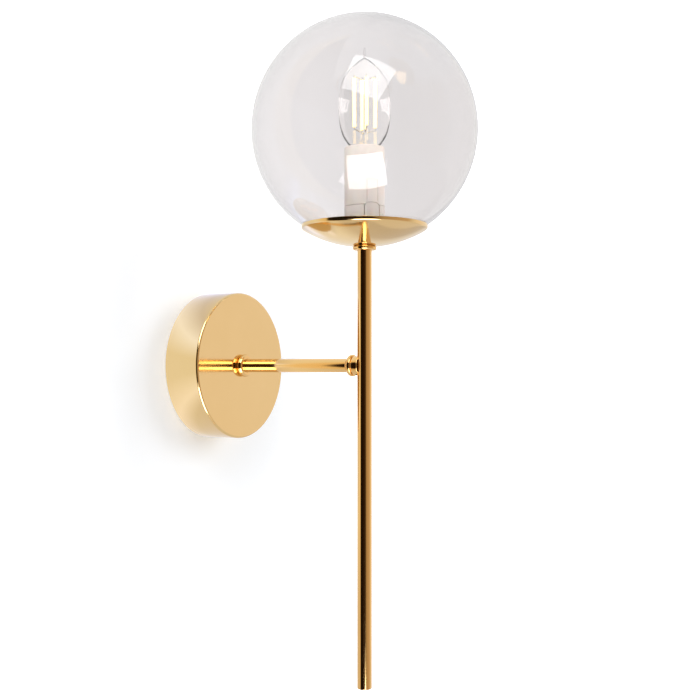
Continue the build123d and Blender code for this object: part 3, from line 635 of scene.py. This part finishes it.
def candle_side(inset, steps):
    """A smooth curve through the candle's stations, taken in by the wall's thickness."""
    points = []
    stations = [Vector(station) for station in candle_stations]
    for place in range(len(stations) - 1):
        before = stations[max(place - 1, 0)] if place else stations[0] - Vector((0, 1.5))
        ends = stations[place], stations[place + 1]
        after = stations[min(place + 2, len(stations) - 1)]
        slopes = (ends[1] - before) / 2, (after - ends[0]) / 2
        for step in range(steps):
            share = step / steps
            h1 = 2 * share**3 - 3 * share**2 + 1
            h2 = share**3 - 2 * share**2 + share
            h3 = share**3 - share**2
            points.append(ends[0] * h1 + slopes[0] * h2 + slopes[1] * h3 + ends[1] * (1 - h1))
    points.append(stations[-1])
    moved = []
    for place, point in enumerate(points):
        run = points[min(place + 1, len(points) - 1)] - points[max(place - 1, 0)]
        out = Vector((run.y, -run.x)).normalized()
        moved.append(tuple(point - out * inset))
    return moved


outside = candle_side(0.0, 4)
pip = [(1.1, 217.4), (1.05, 219.5), (0.85, 222.6), (0.66, 224.0), (0.45, 224.5), (0.0, 224.77)]
inside = [point for point in candle_side(glass_wall, 4) if point[0] > 0.9]
glass_floor = glass_low + glass_wall
candle_glass = turned(
    "candle_glass",
    [(0.0, glass_low), (6.7, glass_low), (7.05, glass_low + 0.35)] + outside + pip
    + [(0.0, 216.1)] + inside[::-1]
    + [(6.25, glass_low + 1.0), (5.9, glass_floor), (0.0, glass_floor)],
    "rod", 96, bulb_glass,
)
candle_glass.data.materials.append(pip_glass)
for face in candle_glass.data.polygons:
    if face.center.z > pip_start * MM:
        face.material_index = 1
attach(candle_glass, "bulb")
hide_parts("bulb_glass")
stem = turned(
    "stem",
    rounded([
        (0.0, 148.27), (5.2, 148.27, 0.4), (4.16, 156.37, 5.0), (1.6, 160.87, 2.5), (1.6, 166.02, 0.5),
        (0.7, 167.02, 0.3), (0.7, 201.2, 0.2), (0.0, 201.2),
    ], 6),
    "rod", 48, bulb_glass, closed=False,
)
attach(stem, "bulb")
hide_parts("bulb_stem")
nickel_wire = fitting_material(
    "nickel_wire", (0.62, 0.59, 0.55), (0.55, 0.52, 0.48), 0.002, (0.25, 0.35), Metallic=1.0
)
finish_nodes(nickel_wire, "bulb_support_wires")

# ---------------------------------------------------------------------------------------------------
# Filaments.
# Four straight rods with light-emitting chips under a yellow phosphor coat, fixed between the support
# wires and lit warm white.

filament_glow = fitting_material("filament_glow", (0.9, 0.62, 0.2), (0.9, 0.55, 0.15), 0.003, (0.5, 0.6))
filament_shader = filament_glow.node_tree.nodes["Principled BSDF"]
filament_shader.inputs["Emission Color"].default_value = (1.0, 0.72, 0.17, 1)
filament_shader.inputs["Emission Strength"].default_value = 5.5
finish_nodes(filament_glow, "bulb_filaments")

# ---------------------------------------------------------------------------------------------------
# Studio: wall, floor, surroundings, lamps and camera.
# A matt white wall and a pale floor far below, under three square lamps behind cloth. For the metal,
# the surroundings and the wall show mirrors a painted reflection: a dark band with a warm side behind
# the camera and two bluish bands beside the canopy that shade its side.

scene = bpy.context.scene
wall_front = 0.0004
canopy_opening = 0.0535
ring_steps = 96


def stage_sheet(name, corners, hole, material):
    """A flat sheet of the studio, with a round hole where the canopy covers the wall."""
    mesh = bmesh.new()
    outer = [mesh.verts.new(corner) for corner in corners]
    edges = [mesh.edges.new((outer[place - 1], outer[place])) for place in range(4)]
    if hole:
        ring = []
        for step in range(ring_steps):
            turn = 2 * math.pi * step / ring_steps
            ring.append(mesh.verts.new((hole * math.cos(turn), corners[0][1], hole * math.sin(turn))))
        edges += [mesh.edges.new((ring[step - 1], ring[step])) for step in range(ring_steps)]
    bmesh.ops.triangle_fill(mesh, use_beauty=True, use_dissolve=False, edges=edges)
    front = Vector((0, -1, 0)) if hole else Vector((0, 0, 1))
    for face in mesh.faces:
        face.normal_update()
        if face.normal.dot(front) < 0:
            face.normal_flip()
    data = bpy.data.meshes.new(name)
    mesh.to_mesh(data)
    mesh.free()
    data.materials.append(material)
    sheet = bpy.data.objects.new(name, data)
    scene.collection.objects.link(sheet)
    return sheet


def any_ray(tree, *kinds):
    """1 for a ray of one of these kinds and 0 for any other."""
    rays = add_node(tree, "ShaderNodeLightPath")
    found = rays.outputs[kinds[0]]
    for kind in kinds[1:]:
        either_ray = {0: found, 1: rays.outputs[kind]}
        found = add_node(tree, "ShaderNodeMath", either_ray, operation="MAXIMUM").outputs[0]
    return found


def colours_along(tree, value, low, high, ends, stops):
    """Colours that go with a value from low to high: the two ends, and stops of (value, colour)."""
    ramp = add_node(tree, "ShaderNodeValToRGB", {0: between(tree, value, low, high)})
    for end, colour in zip(ramp.color_ramp.elements, ends):
        end.color = (*colour, 1)
    for reached, colour in stops:
        ramp.color_ramp.elements.new((reached - low) / (high - low)).color = (*colour, 1)
    return ramp.outputs[0]


def times(tree, first, second):
    """Multiplies two colours."""
    return add_node(tree, "ShaderNodeVectorMath", {0: first, 1: second}, operation="MULTIPLY").outputs[0]


wall_paint = bpy.data.materials.new("wall_paint")
wall_paint.use_nodes = True
tree = wall_paint.node_tree
tree.nodes.clear()
place = add_node(tree, "ShaderNodeTexCoord").outputs["Object"]
apart = add_node(tree, "ShaderNodeSeparateXYZ", {0: place})
from_canopy = add_node(tree, "ShaderNodeVectorMath", {0: place}, operation="LENGTH").outputs["Value"]

# In mirrors only, the wall shows a painted reflection: dark far to the left, then warm, then white, and a
# little grey to the right.
mirror_side = colours_along(
    tree, apart.outputs["X"], -0.36, 0.64, ((0.012, 0.008, 0.005), (0.86, 0.85, 0.865)),
    (
        (-0.20, (0.015, 0.006, 0.002)), (-0.175, (0.98, 0.78, 0.48)), (-0.125, (1.0, 0.86, 0.62)),
        (-0.095, (1.0, 0.99, 0.97)), (0.12, (1.0, 0.985, 0.98)), (0.24, (0.955, 0.945, 0.95)),
        (0.33, (0.885, 0.875, 0.885)),
    ),
)

# Two bluish bands of painted reflection beside the canopy, which shade the canopy's side, show at half
# strength in these stops, because a ramp's colours end at 1.
half_painted_bands = colours_along(
    tree, apart.outputs["Z"], -0.08, 0.08, ((0.43, 0.42, 0.44), (0.43, 0.43, 0.44)),
    (
        (-0.060, (0.44, 0.43, 0.43)), (-0.040, (0.59, 0.61, 0.72)), (-0.012, (0.5, 0.5, 0.5)),
        (0.012, (0.5, 0.5, 0.5)), (0.038, (0.59, 0.66, 0.90)), (0.066, (0.40, 0.41, 0.50)),
    ),
)
painted_side_bands = add_node(tree, "ShaderNodeVectorMath", {0: half_painted_bands, "Scale": 2.0}, operation="SCALE").outputs[0]
beside_canopy = between(tree, from_canopy, 0.13, 0.10)
with_painted_bands = times(tree, mirror_side, blend(tree, beside_canopy, (1, 1, 1, 1), painted_side_bands))
# In mirrors the lower wall is painted darker, a painted shade in the reflections.
above_painted_dimming = between(tree, apart.outputs["Z"], -0.22, -0.085)
in_mirrors = times(tree, with_painted_bands, blend(tree, above_painted_dimming, (0.78, 0.74, 0.72, 1), (1, 1, 1, 1)))

# Through glass it is white and falls off gently to the right, a painted shade seen through the glass, and to
# the eye the canopy dims it.
through_glass = between(tree, apart.outputs["X"], 0.14, 0.34, 1.0, 0.88)
mirror_or_glass = blend(tree, any_ray(tree, "Is Transmission Ray"), in_mirrors, through_glass)
to_the_eye = between(tree, from_canopy, 0.10, 0.26, 0.27, 1.0, interpolation_type="SMOOTHSTEP")
shown = blend(tree, any_ray(tree, "Is Glossy Ray"), to_the_eye, mirror_or_glass)
glow = add_node(tree, "ShaderNodeEmission", {"Color": shown}).outputs[0]
matt = add_node(tree, "ShaderNodeBsdfDiffuse", {"Color": (0.80, 0.82, 0.85, 1)}).outputs[0]
both = add_node(tree, "ShaderNodeAddShader", {0: matt, 1: glow}).outputs[0]
watched = either(tree, any_ray(tree, "Is Camera Ray", "Is Transmission Ray"), matt, both)
front = either(tree, any_ray(tree, "Is Glossy Ray"), watched, glow)
side = add_node(tree, "ShaderNodeNewGeometry")
clear = add_node(tree, "ShaderNodeBsdfTransparent").outputs[0]
one_sided = either(tree, side.outputs["Backfacing"], front, clear)
add_node(tree, "ShaderNodeOutputMaterial", {"Surface": one_sided})
stage_sheet(
    "wall",
    [(-1.6, wall_front, -1.4), (3.2, wall_front, -1.4), (3.2, wall_front, 1.5), (-1.6, wall_front, 1.5)],
    canopy_opening, wall_paint,
)

floor_paint = fitting_material("floor_paint", (0.80, 0.80, 0.80), (0.78, 0.78, 0.78), 0.4, (0.6, 0.7))
tree = floor_paint.node_tree
# In mirrors and through glass the floor shows a painted darker, warmer reflection; to the eye it is near
# white.
shown = blend(tree, any_ray(tree, "Is Camera Ray"), (0.82, 0.77, 0.74, 1), (0.98, 0.98, 0.98, 1))
glow = add_node(tree, "ShaderNodeEmission", {"Color": shown}).outputs[0]
straight = any_ray(tree, "Is Glossy Ray", "Is Transmission Ray", "Is Camera Ray")
matt = tree.nodes["Principled BSDF"].outputs[0]
tree.links.new(either(tree, straight, matt, glow), tree.nodes["Material Output"].inputs["Surface"])
stage_sheet(
    "floor", [(-3.0, -3.0, -1.4), (3.2, -3.0, -1.4), (3.2, 3.0, -1.4), (-3.0, 3.0, -1.4)], 0, floor_paint
)

# The surroundings, by the bearing from the camera's own direction and by height; mirrors see them as a
# painted reflection, and they light the object as plain white.
world = bpy.data.worlds.new("studio")
scene.world = world
world.use_nodes = True
tree = world.node_tree
tree.nodes.clear()
place = add_node(tree, "ShaderNodeTexCoord").outputs["Generated"]
shares = []
for direction in ((-0.874, -0.486, 0.0), (0.486, -0.874, 0.0)):
    share = add_node(tree, "ShaderNodeVectorMath", {0: place, 1: direction}, operation="DOT_PRODUCT")
    shares.append(share.outputs["Value"])
bearing = add_node(tree, "ShaderNodeMath", {0: shares[1], 1: shares[0]}, operation="ARCTAN2").outputs[0]
room_stops = (
    (-100, (1.0, 1.0, 0.98)), (-84, (0.012, 0.003, 0.001)), (-20, (0.02, 0.008, 0.003)),
    (14, (0.05, 0.028, 0.012)), (30, (0.46, 0.34, 0.22)), (60, (0.60, 0.44, 0.30)),
    (84, (0.66, 0.50, 0.36)), (94, (0.82, 0.75, 0.69)), (108, (0.99, 0.89, 0.82)),
)
room = colours_along(
    tree, bearing, -math.pi, math.pi, ((1, 1, 1), (1, 1, 1)),
    [(math.radians(degrees), colour) for degrees, colour in room_stops],
)
height = add_node(tree, "ShaderNodeSeparateXYZ", {0: place}).outputs["Z"]
ends_of_room = colours_along(
    tree, height, -1.0, 1.0, ((1, 1, 1), (1, 1, 1)),
    [(level, (share, share, share)) for level, share in ((-0.56, 1), (-0.44, 0), (0.50, 0), (0.64, 1))],
)
in_mirrors = blend(tree, ends_of_room, room, (0.92, 0.92, 0.92, 1))
mirrored = add_node(tree, "ShaderNodeBackground", {"Color": in_mirrors}).outputs[0]
ambient = add_node(tree, "ShaderNodeBackground", {"Color": (1, 1, 1, 1), "Strength": 0.5}).outputs[0]
backdrop = add_node(tree, "ShaderNodeBackground", {"Color": (1, 1, 1, 1), "Strength": 1.0}).outputs[0]
unseen = either(tree, any_ray(tree, "Is Glossy Ray"), ambient, mirrored)
whole = either(tree, any_ray(tree, "Is Camera Ray", "Is Transmission Ray"), unseen, backdrop)
add_node(tree, "ShaderNodeOutputWorld", {"Surface": whole})


def softbox(name, spot, aim, size, roll, power):
    """A square lamp behind cloth, turned by roll about its own axis."""
    lamp = bpy.data.lights.new(name, "AREA")
    lamp.shape = "SQUARE"
    lamp.size = size
    lamp.energy = power
    holder = bpy.data.objects.new(name, lamp)
    holder.location = spot
    facing = (Vector(aim) - Vector(spot)).to_track_quat("-Z", "Y")
    holder.rotation_euler = (facing @ Euler((0, 0, math.radians(roll))).to_quaternion()).to_euler()
    holder.visible_camera = False
    scene.collection.objects.link(holder)
    return holder


globe_spot = (0.0, -0.134, 0.165)
softbox("key", (-0.668, -0.552, 0.781), globe_spot, size=0.66, roll=-24, power=5.2)
card = softbox("card", (-0.757, -0.584, -0.963), globe_spot, size=0.90, roll=8, power=13.5)
card.visible_diffuse = False
fill = softbox("fill", (1.1, -1.1, 0.45), (0.0, -0.02, 0.0), size=0.9, roll=0, power=13.0)
fill.visible_glossy = False
fill.visible_transmission = False

camera_data = bpy.data.cameras.new("camera")
camera_data.lens = 48.857
camera_data.sensor_width = 36.0
camera_data.shift_y = 0.0221
camera_data.clip_start = 0.01
camera = bpy.data.objects.new("camera", camera_data)
camera.location = (-0.5910, -0.4508, 0.00008)
camera.rotation_euler = (math.pi / 2, 0.0, math.atan2(-0.87402675, 0.48587781))
scene.collection.objects.link(camera)
scene.camera = camera
scene.view_settings.view_transform = "Standard"
